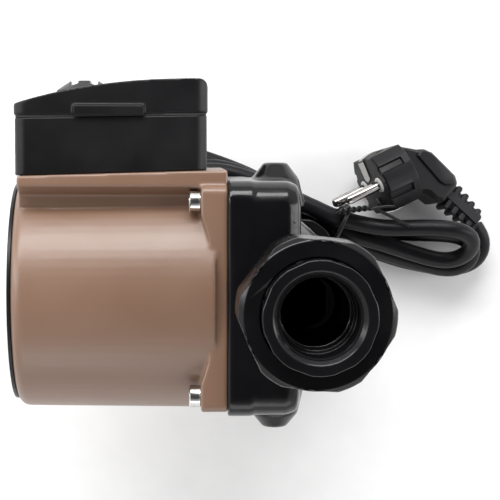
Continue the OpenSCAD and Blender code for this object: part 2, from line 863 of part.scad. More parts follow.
// Tube of the cord's diameter along a route
module cord_tube(route, sides = 10) {
    path = swept(route);
    last = len(path) - 1;
    rings = [for (i = [0 : last]) let (
        ahead = unit(path[min(i + 1, last)] - path[max(i - 1, 0)]),
        across = unit(cross(ahead, abs(ahead.z) > 0.9 ? [0, 1, 0] : [0, 0, 1])),
        up = cross(across, ahead)
    ) for (k = [0 : sides - 1]) let (a = 360 * k / sides)
        path[i] + cord_d / 2 * (cos(a) * across + sin(a) * up)];
    polyhedron(rings, concat(
        [[for (k = [sides - 1 : -1 : 0]) k]],
        [for (i = [0 : last - 1], k = [0 : sides - 1])
            let (j = (k + 1) % sides, a = i * sides, b = a + sides) [a + k, a + j, b + j, b + k]],
        [[for (k = [0 : sides - 1]) last * sides + k]]
    ));
}

module cord_lead() { color([0.06, 0.06, 0.065]) cord_tube(lead_route); }
module plug_lead() { color([0.06, 0.06, 0.065]) cord_tube(plug_route); }

module cord_hank() {
    color([0.06, 0.06, 0.065]) difference() {
        union() {
            linear_extrude(hank_height) polygon(hank_outline);
            intersection() {
                linear_extrude(fold_height) polygon(hank_outline);
                translate([fold_x, -10, 0]) cube([70, 50, fold_height]);
            }
        }
        translate([0, 0, -1]) cylinder(r = tail_shank_r + 0.9, h = hank_height + 2);
        translate([0, 0, nut_floor_gap]) cylinder(r = nut_corner_r + 0.8, h = hank_height);
    }
}

module cord_tie() {
    color([0.03, 0.03, 0.03]) translate(tie_place) rotate([0, 0, tie_turn]) difference() {
        translate([-0.6, -9, 0]) cube([1.2, 18, hank_height + 1]);
        translate([-1, -8, 1]) cube([2, 16, hank_height - 1]);
    }
}

pump_housing();
wear_ring();
housing_gasket();
bearing_plate();
front_bearing();
rotor_can();
rear_bearing();
can_seal();
stator_stack();
stator_windings();
motor_housing();
end_cover();
name_plate();
vent_seal();
motor_screws();
terminal_box_base();
terminal_box_lid();
box_seal();
box_screws();
lid_screw();
speed_switch();
terminal_block();
terminal_screws();
capacitor();
cord_clamp();
gland_body();
gland_nut();
cord_guard();
upper_union_tail();
upper_union_gasket();
upper_union_nut();
lower_union_tail();
lower_union_gasket();
lower_union_nut();
shaft();
impeller();
rotor_core();
thrust_bearing();
impeller_clip();
speed_knob();
switch_shaft();
vent_screw();
plug_body();
plug_pins();
plug_earth_contacts();
plug_strain_relief();
cord_lead();
cord_hank();
plug_lead();
cord_tie();
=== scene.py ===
import json
import math

import bmesh
import bpy
from mathutils import Matrix, Vector


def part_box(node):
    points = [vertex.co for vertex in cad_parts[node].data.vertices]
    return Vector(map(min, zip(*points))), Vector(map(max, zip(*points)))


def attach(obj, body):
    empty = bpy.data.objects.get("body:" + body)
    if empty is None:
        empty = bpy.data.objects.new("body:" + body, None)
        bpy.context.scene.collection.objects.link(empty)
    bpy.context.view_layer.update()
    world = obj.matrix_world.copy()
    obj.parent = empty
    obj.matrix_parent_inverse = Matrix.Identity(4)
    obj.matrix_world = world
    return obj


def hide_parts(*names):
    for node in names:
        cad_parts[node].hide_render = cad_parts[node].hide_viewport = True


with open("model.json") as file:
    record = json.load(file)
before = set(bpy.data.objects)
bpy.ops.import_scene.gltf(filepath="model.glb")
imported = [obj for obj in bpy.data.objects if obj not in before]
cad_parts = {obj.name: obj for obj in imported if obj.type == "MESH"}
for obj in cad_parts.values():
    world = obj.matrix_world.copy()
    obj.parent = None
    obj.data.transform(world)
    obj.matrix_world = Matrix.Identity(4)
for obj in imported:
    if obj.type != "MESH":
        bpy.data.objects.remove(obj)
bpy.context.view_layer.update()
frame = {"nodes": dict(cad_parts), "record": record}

NODES = frame["nodes"]
MM = 0.001


# ---------- camera ----------

CAMERA_PLACE = Vector((-51.6, 60.9, 772.0)) * MM
CAMERA_TURN = (-0.06642, -0.04769, 0.00219)
CAMERA_LENS = 111.2


def make_camera():
    data = bpy.data.cameras.new("camera")
    data.lens = CAMERA_LENS
    data.sensor_width = 36
    data.clip_start = 0.02
    camera = bpy.data.objects.new("camera", data)
    camera.location = CAMERA_PLACE
    camera.rotation_euler = CAMERA_TURN
    bpy.context.collection.objects.link(camera)
    bpy.context.scene.camera = camera


make_camera()


# ---------- the lead's route ----------

CORD_D = 0.008

# From the guard under the terminal box down to the hank
LEAD_ROUTE = [
    (-0.062, 0.063, 0.032), (-0.062, 0.063, 0.028), (-0.0615, 0.0628, 0.0225), (-0.0595, 0.0622, 0.0165),
    (-0.0555, 0.061, 0.011), (-0.05, 0.0592, 0.007), (-0.043, 0.057, 0.0048), (-0.035, 0.0545, 0.0042),
    (-0.028, 0.052, 0.0042)]
# From the plug's strain relief round to the hank
PLUG_ROUTE = [
    (0.0966, 0.022, 0.0125), (0.0988, 0.0196, 0.0121), (0.1006, 0.0164, 0.0114), (0.1014, 0.0126, 0.0104),
    (0.1008, 0.0086, 0.0092), (0.0984, 0.005, 0.0078), (0.0948, 0.0024, 0.0064), (0.09, 0.001, 0.0052)]


def fold(start, end, reach, steps=6):
    """Half turn between two runs of the hank, reaching sideways along X."""
    start, end = Vector(start), Vector(end)
    middle, half = (start + end) / 2, (start - end) / 2
    points = []
    for i in range(steps + 1):
        angle = math.pi * i / steps
        points.append(middle + half * math.cos(angle) + Vector((reach * math.sin(angle), 0, 0)))
    return points


# The hank's five runs, stacked beside the lower union and held by the tie
RUN_1 = [
    (-0.014, 0.0463, 0.0042), (0, 0.0384, 0.0042), (0.013, 0.0328, 0.0042), (0.0235, 0.0275, 0.0042),
    (0.033, 0.0254, 0.0044), (0.044, 0.0215, 0.007), (0.056, 0.0192, 0.012), (0.07, 0.019, 0.018)]
RUN_2 = [
    (0.07, 0.0036, 0.0126), (0.056, 0.0074, 0.0124), (0.043, 0.012, 0.0124), (0.032, 0.0186, 0.0124),
    (0.0232, 0.0266, 0.0124), (0.013, 0.033, 0.0124), (0, 0.0384, 0.0124), (-0.014, 0.0456, 0.0124),
    (-0.027, 0.0505, 0.0124)]
RUN_3 = [
    (-0.03, 0.0224, 0.014), (-0.02, 0.0284, 0.0185), (-0.0095, 0.033, 0.0245), (0.001, 0.0362, 0.0288),
    (0.013, 0.033, 0.0289), (0.024, 0.0275, 0.0288), (0.034, 0.025, 0.0276), (0.045, 0.0226, 0.029),
    (0.057, 0.0222, 0.032), (0.069, 0.0228, 0.036)]
RUN_4 = [
    (0.068, 0.0082, 0.0208), (0.056, 0.012, 0.0206), (0.044, 0.0158, 0.0206), (0.033, 0.019, 0.0206),
    (0.0235, 0.0266, 0.0206), (0.013, 0.033, 0.0207), (0, 0.0384, 0.0206), (-0.014, 0.045, 0.0206),
    (-0.027, 0.049, 0.0206)]
RUN_5 = [
    (-0.033, 0.0118, 0.011), (-0.026, 0.0156, 0.0048), (-0.017, 0.0208, 0.0042), (-0.008, 0.0252, 0.0042),
    (0.001, 0.0263, 0.0042), (0.01, 0.0246, 0.0042), (0.018, 0.0203, 0.0042), (0.025, 0.0172, 0.0042),
    (0.034, 0.0144, 0.0042), (0.045, 0.0102, 0.0042), (0.057, 0.006, 0.0042), (0.07, 0.0028, 0.0042),
    (0.082, 0.001, 0.0044)]

CORD_POINTS = (
    LEAD_ROUTE + RUN_1 + fold((0.083, 0.0186, 0.022), (0.083, 0.0006, 0.0136), 0.0124)
    + RUN_2 + fold((-0.04, 0.0515, 0.0124), (-0.04, 0.019, 0.0124), -0.0145)
    + RUN_3 + fold((0.08, 0.0222, 0.039), (0.08, 0.0054, 0.0216), 0.0124)
    + RUN_4 + fold((-0.039, 0.0495, 0.0206), (-0.039, 0.0115, 0.0185), -0.0185)
    + RUN_5 + PLUG_ROUTE[::-1])


def evenly(points, step):
    """The same line with a point every step along it."""
    result, left = [points[0]], step
    for a, b in zip(points, points[1:]):
        span = (b - a).length
        while left <= span:
            result.append(a.lerp(b, left / span))
            left += step
        left -= span
    if (result[-1] - points[-1]).length < step / 2:
        result.pop()
    return result + [points[-1]]


def smooth_line(points):
    """Catmull-Rom through the points, then eased so that its bends are even."""
    step, passes, per_span = 0.002, 10, 10
    p = [Vector(v) for v in points]
    p = [p[0] * 2 - p[1]] + p + [p[-1] * 2 - p[-2]]
    line = []
    for a, b, c, d in zip(p, p[1:], p[2:], p[3:]):
        for k in range(per_span):
            t = k / per_span
            line.append(0.5 * (2 * b + (c - a) * t + (2 * a - 5 * b + 4 * c - d) * t * t
                               + (3 * b - a - 3 * c + d) * t ** 3))
    line = evenly(line + [p[-2]], step)
    for _ in range(passes):
        middle = [(q + (o + r) / 2) / 2 for o, q, r in zip(line, line[1:], line[2:])]
        line = [line[0]] + middle + [line[-1]]
    return evenly(line, step)


def tube(name, line, diameter, resolution):
    """A curve of one spline with a round section."""
    curve = bpy.data.curves.new(name, "CURVE")
    curve.dimensions = "3D"
    curve.bevel_depth = diameter / 2
    curve.bevel_resolution = resolution
    curve.use_fill_caps = True
    spline = curve.splines.new("POLY")
    spline.points.add(len(line) - 1)
    for point, place in zip(spline.points, line):
        point.co = (*place, 1)
    spline.use_smooth = True
    piece = bpy.data.objects.new(name, curve)
    bpy.context.collection.objects.link(piece)
    return piece


cord_line = smooth_line(CORD_POINTS)
cord = tube("mains_cord", cord_line, CORD_D, 8)


# ---------- node materials ----------

NOISE_ROUGHNESS = 0.55


def new_material(name):
    """A node material, its tree and its shader."""
    mat = bpy.data.materials.new(name)
    mat.use_nodes = True
    tree = mat.node_tree
    return mat, tree, tree.nodes["Principled BSDF"]


def place_noise(tree, scale, detail):
    """Noise in the object's own metres, so that its grain keeps its real size."""
    coords = tree.nodes.new("ShaderNodeTexCoord")
    noise = tree.nodes.new("ShaderNodeTexNoise")
    noise.inputs["Scale"].default_value = scale
    noise.inputs["Detail"].default_value = detail
    noise.inputs["Roughness"].default_value = NOISE_ROUGHNESS
    tree.links.new(coords.outputs["Object"], noise.inputs["Vector"])
    return noise


def ramp(tree, source, low, high, low_at=0.3, high_at=0.7):
    """The colour low where source is at or under low_at, and high from high_at up."""
    node = tree.nodes.new("ShaderNodeValToRGB")
    node.color_ramp.elements[0].position = low_at
    node.color_ramp.elements[1].position = high_at
    node.color_ramp.elements[0].color = low
    node.color_ramp.elements[1].color = high
    tree.links.new(source, node.inputs["Fac"])
    return node


def add_bump(tree, shader, source, strength, distance, before=None):
    """A bump on the shader's normal, on top of an earlier bump if there is one."""
    bump = tree.nodes.new("ShaderNodeBump")
    bump.inputs["Strength"].default_value = strength
    bump.inputs["Distance"].default_value = distance
    tree.links.new(source, bump.inputs["Height"])
    if before:
        tree.links.new(before.outputs["Normal"], bump.inputs["Normal"])
    tree.links.new(bump.outputs["Normal"], shader.inputs["Normal"])
    return bump


def grey(value):
    return (value, value, value, 1)


COAT_ROUGHNESS = 0.08
# Pointiness at which convex edges start to get a painted highlight, and at which the painted highlight is
# full
LIT_EDGES_FROM_TO = (0.53, 0.60)


def finish_material(name, colours, rough, grain, patch=14.0, coat=0.0, specular=0.5, coarse=None,
                    edge=None):
    """Patchy colour, varied gloss and a fine grain, plus a coarse cast texture and a painted highlight on
    convex edges if asked.

    colours is (dark, light) and rough is (lowest, highest).
    grain and coarse are (noise scale, height in metres), and edge is the lighter colour painted on convex
    edges as a highlight."""
    mat, tree, shader = new_material(name)
    shader.inputs["Specular IOR Level"].default_value = specular
    shader.inputs["Coat Weight"].default_value = coat
    shader.inputs["Coat Roughness"].default_value = COAT_ROUGHNESS
    patches = place_noise(tree, patch, 3)
    colour = ramp(tree, patches.outputs["Fac"], *[(*shade, 1) for shade in colours])
    base = colour.outputs["Color"]
    # Painted highlight: convex edges, found by pointiness, are mixed towards the lighter edge colour
    if edge:
        geometry = tree.nodes.new("ShaderNodeNewGeometry")
        lit_edges = ramp(tree, geometry.outputs["Pointiness"], grey(0), grey(1), *LIT_EDGES_FROM_TO)
        mix = tree.nodes.new("ShaderNodeMix")
        mix.data_type = "RGBA"
        mix.inputs["B"].default_value = (*edge, 1)
        tree.links.new(lit_edges.outputs["Color"], mix.inputs["Factor"])
        tree.links.new(base, mix.inputs["A"])
        base = mix.outputs["Result"]
    tree.links.new(base, shader.inputs["Base Color"])
    gloss = place_noise(tree, patch * 4, 5)
    spread = ramp(tree, gloss.outputs["Fac"], grey(rough[0]), grey(rough[1]))
    tree.links.new(spread.outputs["Color"], shader.inputs["Roughness"])
    fine = place_noise(tree, grain[0], 5)
    before = None
    if coarse:
        rolling = place_noise(tree, coarse[0], 3)
        before = add_bump(tree, shader, rolling.outputs["Fac"], 0.5, coarse[1])
    add_bump(tree, shader, fine.outputs["Fac"], 0.6, grain[1], before)
    return mat


CAST_COLOURS = ((0.0025, 0.0025, 0.003), (0.006, 0.006, 0.007))
GRIT_PER_METRE = 160
GRIT_HEIGHT = 0.00016


def cast_black(name):
    """Glossy stove paint over a sand casting, with small grit under the paint."""
    mat = finish_material(name, CAST_COLOURS, (0.12, 0.24), (900, 0.00004), coat=0.1, specular=0.35,
                          coarse=(110, 0.00035))
    tree = mat.node_tree
    shader = tree.nodes["Principled BSDF"]
    coords = tree.nodes.new("ShaderNodeTexCoord")
    grit = tree.nodes.new("ShaderNodeTexVoronoi")
    grit.inputs["Scale"].default_value = GRIT_PER_METRE
    tree.links.new(coords.outputs["Object"], grit.inputs["Vector"])
    specks = ramp(tree, grit.outputs["Distance"], grey(1), grey(0), 0.03, 0.12)
    before = shader.inputs["Normal"].links[0].from_node
    add_bump(tree, shader, specks.outputs["Color"], 0.3, GRIT_HEIGHT, before)
    return mat


ALONG_STREAK = 12


def brushed(name, colours, rough, axis, streak=900):
    """Bare metal with fine turning or drawing marks across one axis."""
    mat, tree, shader = new_material(name)
    shader.inputs["Metallic"].default_value = 1.0
    coords = tree.nodes.new("ShaderNodeTexCoord")
    stretch = tree.nodes.new("ShaderNodeMapping")
    stretch.inputs["Scale"].default_value = [streak if i == axis else ALONG_STREAK for i in range(3)]
    marks = tree.nodes.new("ShaderNodeTexNoise")
    marks.inputs["Scale"].default_value = 1.0
    marks.inputs["Detail"].default_value = 3
    tree.links.new(coords.outputs["Object"], stretch.inputs["Vector"])
    tree.links.new(stretch.outputs["Vector"], marks.inputs["Vector"])
    colour = ramp(tree, marks.outputs["Fac"], *[(*shade, 1) for shade in colours])
    tree.links.new(colour.outputs["Color"], shader.inputs["Base Color"])
    gloss = ramp(tree, marks.outputs["Fac"], grey(rough[0]), grey(rough[1]))
    tree.links.new(gloss.outputs["Color"], shader.inputs["Roughness"])
    add_bump(tree, shader, marks.outputs["Fac"], 0.3, 0.00004)
    return mat


MATERIALS = {
    "black_cast_iron": cast_black("cast_black"),
    "black_union": finish_material(
        "union_black", CAST_COLOURS, (0.14, 0.28), (700, 0.00003),
        # edge colour: painted highlight on convex edges
        specular=0.35, coarse=(150, 0.00018), edge=(0.02, 0.02, 0.021)),
    "stainless": brushed("stainless", ((0.5, 0.5, 0.52), (0.68, 0.68, 0.7)), (0.22, 0.38), 0),
    "seal_rubber": finish_material(
        "seal_rubber", ((0.015, 0.015, 0.015), (0.03, 0.03, 0.03)), (0.6, 0.8), (1500, 0.00003)),
    "carbon": finish_material(
        "carbon", ((0.03, 0.03, 0.032), (0.06, 0.06, 0.064)), (0.35, 0.5), (2500, 0.00002)),
    "lamination_steel": brushed("laminations", ((0.2, 0.2, 0.21), (0.38, 0.38, 0.4)), (0.35, 0.5), 0, 2000),
    "copper_wire": brushed("copper", ((0.42, 0.14, 0.05), (0.70, 0.30, 0.12)), (0.25, 0.4), 0, 1200),
    "bronze_paint": finish_material(
        "bronze_paint", ((0.185, 0.104, 0.066), (0.225, 0.130, 0.086)), (0.34, 0.44), (2600, 0.00004),
        # edge colour: painted highlight on convex edges
        patch=9.0, specular=0.75, coarse=(90, 0.00025), edge=(0.30, 0.20, 0.15)),
    "black_cover": finish_material(
        "cover_black", ((0.005, 0.005, 0.006), (0.010, 0.010, 0.011)), (0.3, 0.45), (1400, 0.00003),
        specular=0.3),
    "blank_plate": brushed("label_blank", ((0.5, 0.5, 0.51), (0.66, 0.66, 0.67)), (0.3, 0.42), 1),
    "screw_steel": brushed("zinc_steel", ((0.62, 0.62, 0.62), (0.82, 0.82, 0.80)), (0.14, 0.26), 0, 1500),
    "box_plastic": finish_material(
        "box_plastic", ((0.0035, 0.0035, 0.004), (0.007, 0.007, 0.008)), (0.34, 0.46), (3200, 0.00007),
        specular=0.3, coarse=(500, 0.00003)),
    "knob_plastic": finish_material(
        "knob_plastic", ((0.003, 0.003, 0.0035), (0.006, 0.006, 0.007)), (0.2, 0.32), (1800, 0.00002),
        specular=0.35),
    "switch_plastic": finish_material(
        "ivory_plastic", ((0.66, 0.63, 0.55), (0.76, 0.73, 0.65)), (0.4, 0.5), (1500, 0.00003)),
    "capacitor_can": brushed("capacitor_can", ((0.6, 0.6, 0.61), (0.74, 0.74, 0.75)), (0.25, 0.36), 0),
    "gland_plastic": finish_material(
        "gland_plastic", ((0.005, 0.005, 0.005), (0.010, 0.010, 0.010)), (0.4, 0.55), (1800, 0.00004),
        specular=0.3),
    "ceramic_shaft": finish_material(
        "ceramic", ((0.72, 0.72, 0.68), (0.82, 0.82, 0.79)), (0.12, 0.2), (1500, 0.00001), coat=0.3),
    "impeller_plastic": finish_material(
        "impeller_plastic", ((0.58, 0.52, 0.40), (0.68, 0.62, 0.5)), (0.35, 0.5), (1200, 0.00003)),
    "brass_screw": brushed("brass", ((0.58, 0.38, 0.14), (0.76, 0.54, 0.24)), (0.2, 0.34), 0),
    "plug_rubber": finish_material(
        "plug_black", ((0.004, 0.004, 0.005), (0.008, 0.008, 0.010)), (0.34, 0.48), (2400, 0.00005),
        # edge colour: painted highlight on convex edges
        specular=0.25, coarse=(420, 0.00004), edge=(0.03, 0.03, 0.034)),
    "pin_nickel": brushed("nickel", ((0.36, 0.345, 0.33), (0.46, 0.445, 0.43)), (0.12, 0.2), 1, 500),
    "cord_rubber": finish_material(
        "cord_sheath", ((0.003, 0.003, 0.004), (0.006, 0.006, 0.008)), (0.36, 0.5), (2200, 0.00006),
        patch=40, specular=0.22, coarse=(320, 0.00008)),
    "tie_plastic": finish_material(
        "tie_plastic", ((0.004, 0.004, 0.004), (0.009, 0.009, 0.009)), (0.3, 0.45), (2500, 0.00003),
        specular=0.35),
}
# The pin collars share the ivory plastic's slot but are whiter
COLLAR_WHITE = finish_material(
    "collar_white", ((0.5, 0.5, 0.48), (0.7, 0.7, 0.68)), (0.3, 0.45), (1500, 0.00002))


def paint(piece, slot_name):
    """Gives a piece its slot's material."""
    piece.data.materials.clear()
    piece.data.materials.append(MATERIALS[slot_name])


for part in frame["record"]["subparts"]:
    paint(NODES[part["node"]], part["material_slot"])


# ---------- softened edges on the CAD pieces ----------

def modifier(piece, kind, name, **settings):
    """Adds one modifier and sets its properties."""
    mod = piece.modifiers.new(name, kind)
    for key, value in settings.items():
        setattr(mod, key, value)
    return mod


BEVEL_SEGMENTS = 3
FACE_WEIGHT = 80


def soften(node, width, angle=32, clamp=False):
    """Small machined or moulded radii on a CAD piece's edges."""
    piece = NODES[node]
    for polygon in piece.data.polygons:
        polygon.use_smooth = True
    modifier(piece, "WELD", "weld", merge_threshold=0.00001)
    modifier(piece, "DECIMATE", "flats", decimate_type="DISSOLVE", angle_limit=math.radians(0.6))
    modifier(piece, "BEVEL", "edges", width=width, segments=BEVEL_SEGMENTS, limit_method="ANGLE",
             angle_limit=math.radians(angle), use_clamp_overlap=clamp, miter_outer="MITER_ARC")
    modifier(piece, "WEIGHTED_NORMAL", "normals", keep_sharp=True, weight=FACE_WEIGHT)


def cast(node, voxel, passes):
    """Blended corners of a casting or moulding, from a fine voxel skin that is then eased."""
    piece = NODES[node]
    modifier(piece, "REMESH", "skin", mode="VOXEL", voxel_size=voxel, use_smooth_shade=True)
    modifier(piece, "SMOOTH", "ease", factor=0.5, iterations=passes)


cast("pump_housing", 0.0009, 5)
cast("motor_housing", 0.0007, 4)
for node in ("upper_union_nut", "lower_union_nut"):
    soften(node, 0.0006, angle=18)
for node in ("upper_union_tail", "lower_union_tail"):
    soften(node, 0.0005, angle=30)
soften("terminal_box_base", 0.0008, angle=40)
cast("terminal_box_lid", 0.0005, 5)
cast("speed_knob", 0.00035, 3)
for node in ("vent_screw", "end_cover", "gland_body", "gland_nut", "cord_guard", "lid_screw", "wear_ring"):
    soften(node, 0.0003, clamp=True)


# ---------- pieces made here ----------

SHARP_ANGLE = math.radians(38)


def add_mesh(name, mesh_maker, slot_name):
    """A new fixed piece whose mesh is built by mesh_maker(bm)."""
    mesh = bpy.data.meshes.new(name)
    bm = bmesh.new()
    mesh_maker(bm)
    bmesh.ops.recalc_face_normals(bm, faces=bm.faces)
    bm.to_mesh(mesh)
    bm.free()
    for polygon in mesh.polygons:
        polygon.use_smooth = True
    mesh.set_sharp_from_angle(angle=SHARP_ANGLE)
    piece = bpy.data.objects.new(name, mesh)
    bpy.context.collection.objects.link(piece)
    paint(piece, slot_name)
    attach(piece, "root")
    return piece


def loft(bm, rings, cap=True):
    """Skins closed rings of points, one after another."""
    rows = [[bm.verts.new(p) for p in ring] for ring in rings]
    count = len(rows[0])
    for a, b in zip(rows, rows[1:]):
        for i in range(count):
            j = (i + 1) % count
            bm.faces.new((a[i], a[j], b[j], b[i]))
    if cap:
        bm.faces.new(rows[0][::-1])
        bm.faces.new(rows[-1])


def lathe(bm, profile, matrix, steps, cap=True):
    """Turns (distance along z, radius) pairs about z, then moves the result by matrix."""
    rings = []
    for z, r in profile:
        angles = [2 * math.pi * i / steps for i in range(steps)]
        rings.append([matrix @ Vector((r * math.cos(a), r * math.sin(a), z)) for a in angles])
    loft(bm, rings, cap)


def socket_screws(bm):
    """Cap screws with knurled heads and hexagon sockets, facing the motor's far end."""
    low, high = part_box("motor_screws")
    cad_head_r, head_r, head_length = 0.00425, 0.00435, 0.0048
    socket_r, socket_depth, knurl_depth = 0.0024, 0.0022, 0.00013
    sixth = math.pi / 3
    steps = 72
    # (distance along the screw, radius, knurl depth), from the socket's floor out and down the head
    sections = [
        (socket_depth, socket_r, 0), (0, socket_r * 1.02, 0), (0, head_r - 0.0005, 0),
        (0.0005, head_r, 0), (0.0007, head_r, knurl_depth),
        (head_length - 0.0006, head_r, knurl_depth), (head_length - 0.0004, head_r, 0),
        (head_length, head_r - 0.0002, 0)]
    for y in (low[1] + cad_head_r, high[1] - cad_head_r):
        for z in (low[2] + cad_head_r, high[2] - cad_head_r):
            place = Matrix.Translation((low[0], y, z)) @ Matrix.Rotation(math.radians(90), 4, "Y")
            rings = []
            for index, (along, r, knurl) in enumerate(sections):
                hexagonal = index < 2
                ring = []
                for i in range(steps):
                    a = 2 * math.pi * i / steps
                    radius = r - knurl * (i % 2)
                    if hexagonal:
                        radius = r / math.cos((a + sixth / 2) % sixth - sixth / 2)
                    ring.append(place @ Vector((radius * math.cos(a), radius * math.sin(a), along)))
                rings.append(ring)
            loft(bm, rings)


screws = add_mesh("motor_cap_screws", socket_screws, "screw_steel")
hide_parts("motor_screws")


def bore_threads(bm):
    """Turns of the pipe thread inside each union's mouth."""
    pitch, crest, root, outside = 0.002309, 0.01462, 0.01512, 0.01514
    turns = 5
    for node, direction in (("upper_union_tail", -1), ("lower_union_tail", 1)):
        low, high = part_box(node)
        mouth = (high[2] - 0.002) if direction < 0 else low[2] + 0.0008
        profile = []
        for i in range(turns):
            start = i * pitch
            profile += [(start, root), (start + pitch * 0.38, crest), (start + pitch * 0.62, crest),
                        (start + pitch * 0.98, root)]
        place = Matrix.Translation((0, 0, mouth)) @ Matrix.Scale(direction, 4, (0, 0, 1))
        outer = [(profile[-1][0], outside), (0, outside)]
        lathe(bm, profile + outer + profile[:1], place, 72, cap=False)


add_mesh("union_bore_threads", bore_threads, "black_union")

# The plug's own frame, as in the CAD: pins along -x, one above the other
PLUG_FACE = Vector((0.044, 0.042, 0.0235))
PLUG_TILT = math.radians(15)
PLUG_TURN = math.radians(24.7)
PLUG = Matrix.Translation(PLUG_FACE) @ Matrix.Rotation(PLUG_TURN, 4, "Z") \
    @ Matrix.Rotation(PLUG_TILT, 4, "Y")
RELIEF_START = Vector((0.0315, -0.0155, 0))
RELIEF_TURN = math.radians(-66)
RELIEF = PLUG @ Matrix.Translation(RELIEF_START) @ Matrix.Rotation(RELIEF_TURN, 4, "Z") \
    @ Matrix.Rotation(math.radians(90), 4, "Y")
RELIEF_LENGTH = 0.025

HEAD_R = 0.0185
HEAD_FLAT = 0.014
HEAD_LENGTH = 0.0168
# Across the head's top: places of the ring's points, and the groove on each side of its middle
HEAD_YS = (0.014, 0.0134, 0.0118, 0.0098, 0.0086, 0.0082, 0.0052, 0.0048, 0.0024, 0)
GROOVE = (0.005, 0.0084)
GROOVE_DEPTH = 0.0015


def head_ring(x, shrink, grooved):
    """One section of the plug's round head with its two flats, and its guide grooves if asked."""
    top = []
    for y in HEAD_YS + tuple(-y for y in HEAD_YS[-2::-1]):
        z = math.sqrt(HEAD_R ** 2 - y ** 2) - shrink
        if grooved and GROOVE[0] < abs(y) < GROOVE[1]:
            z -= GROOVE_DEPTH
        top.append((y * (1 - shrink / HEAD_FLAT), z))
    ring = top + [(y, -z) for y, z in reversed(top)]
    return [PLUG @ Vector((x, y, z)) for y, z in ring]


def plug_head(bm):
    """The round head, with grooves that stop short of its back."""
    loft(bm, [
        head_ring(0, 0.0022, False), head_ring(0.0001, 0.0007, True), head_ring(0.0007, 0, True),
        head_ring(0.0128, 0, True), head_ring(0.0130, 0, False),
        head_ring(HEAD_LENGTH - 0.0006, 0, False), head_ring(HEAD_LENGTH, 0.0007, False)])


# The grip behind the head, seen from above, from the head's far corner round to its near one
GRIP_PLAN = [
    (0.0155, 0.0128), (0.0185, 0.0122), (0.0252, 0.0078), (0.0292, 0.0062), (0.0322, 0.0030),
    (0.0384, -0.0122), (0.0378, -0.0158), (0.0362, -0.0176), (0.0268, -0.0212), (0.0244, -0.0200),
    (0.0216, -0.0150), (0.0185, -0.0126), (0.0155, -0.0122)]
# The raised finger plate on each broad side of the grip
PLATE_PLAN = [
    (0.0232, 0.0052), (0.0262, 0.0064), (0.0286, 0.0052), (0.0308, 0.0024), (0.0362, -0.0116),
    (0.0354, -0.0142), (0.0334, -0.0152), (0.0304, -0.0140), (0.0286, -0.0118)]


def shrunk(plan, inset):
    """A plan with each point pulled towards the plan's middle by inset."""
    middle = Vector((sum(x for x, y in plan) / len(plan), sum(y for x, y in plan) / len(plan)))
    return [Vector(p) + (middle - Vector(p)).normalized() * inset for p in plan]


def slab(bm, matrix, plan, levels):
    """A plate through (height, inset) levels of one plan."""
    loft(bm, [[matrix @ Vector((p.x, p.y, z)) for p in shrunk(plan, inset)] for z, inset in levels])


def plug_grip(bm):
    """The grip with its rounded rims, and a finger plate on each broad side."""
    half = 0.0105
    slab(bm, PLUG, GRIP_PLAN, [
        (-half, 0.0022), (-half + 0.0016, 0.0004), (-half + 0.0026, 0), (half - 0.0026, 0),
        (half - 0.0016, 0.0004), (half, 0.0022)])
    for side in (-1, 1):
        slab(bm, PLUG, PLATE_PLAN, [
            (side * (half - 0.001), 0), (side * (half + 0.0011), 0.0001), (side * (half + 0.0015), 0.0007)])


def rounded(piece, width, segments=BEVEL_SEGMENTS):
    """Moulded radii on a made piece's edges."""
    modifier(piece, "BEVEL", "edges", width=width, segments=segments, limit_method="ANGLE",
             angle_limit=math.radians(24), use_clamp_overlap=True)
    modifier(piece, "WEIGHTED_NORMAL", "normals", keep_sharp=True, weight=FACE_WEIGHT)


plug_body = add_mesh("plug_head_moulding", plug_head, "plug_rubber")
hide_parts("plug_body")
plug_back = add_mesh("plug_grip_moulding", plug_grip, "plug_rubber")
for piece in (plug_body, plug_back):
    rounded(piece, 0.0004)


def box_in(bm, matrix, low, high, inset):
    """A block with chamfered ends, between two corners of a piece's own frame."""
    low, high = Vector(low), Vector(high)
    rings = []
    for z, cut in ((low.z, inset), (low.z + inset, 0), (high.z - inset, 0), (high.z, inset)):
        rings.append([matrix @ Vector(p) for p in (
            (low.x + cut, low.y + cut, z), (high.x - cut, low.y + cut, z),
            (high.x - cut, high.y - cut, z), (low.x + cut, high.y - cut, z))])
    loft(bm, rings)


def squared(value):
    """Eases a cosine or sine so that a circle turns into a rounded square."""
    return math.copysign(abs(value) ** 0.6, value)


def relief_bands(bm):
    """Slotted strain relief: a tapering core, a flat spine, and ribs across it with slots between them."""
    count, steps = 5, 32
    pitch = RELIEF_LENGTH / count
    # (distance along the core, half its depth, half its width)
    sections = [
        (-0.002, 0.0042, 0.0050), (0, 0.0046, 0.0060), (RELIEF_LENGTH - 0.0008, 0.0040, 0.0042),
        (RELIEF_LENGTH, 0.0036, 0.0038)]
    rings = []
    for z, deep, wide in sections:
        ring = []
        for i in range(steps):
            a = 2 * math.pi * i / steps
            x, y = squared(math.cos(a)), squared(math.sin(a))
            ring.append(RELIEF @ Vector((deep * x, wide * y, z)))
        rings.append(ring)
    loft(bm, rings)
    first_half, last_half, depth_to_width = 0.0072, 0.0053, 0.8
    rib_share, rib_edge = 0.68, 0.0009
    for i in range(count):
        z = pitch * i
        half = first_half - (first_half - last_half) * i / (count - 1)
        depth = half * depth_to_width
        box_in(bm, RELIEF, (-depth, -half, z), (depth, half, z + pitch * rib_share), rib_edge)
    spine_depth, spine_half, spine_edge = 0.0056, 0.0021, 0.0004
    box_in(bm, RELIEF, (-spine_depth, -spine_half, -0.001),
           (spine_depth, spine_half, RELIEF_LENGTH - spine_edge), spine_edge)


strain_relief = add_mesh("plug_strain_ribs", relief_bands, "plug_rubber")
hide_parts("plug_strain_relief")
rounded(strain_relief, 0.00025, 2)


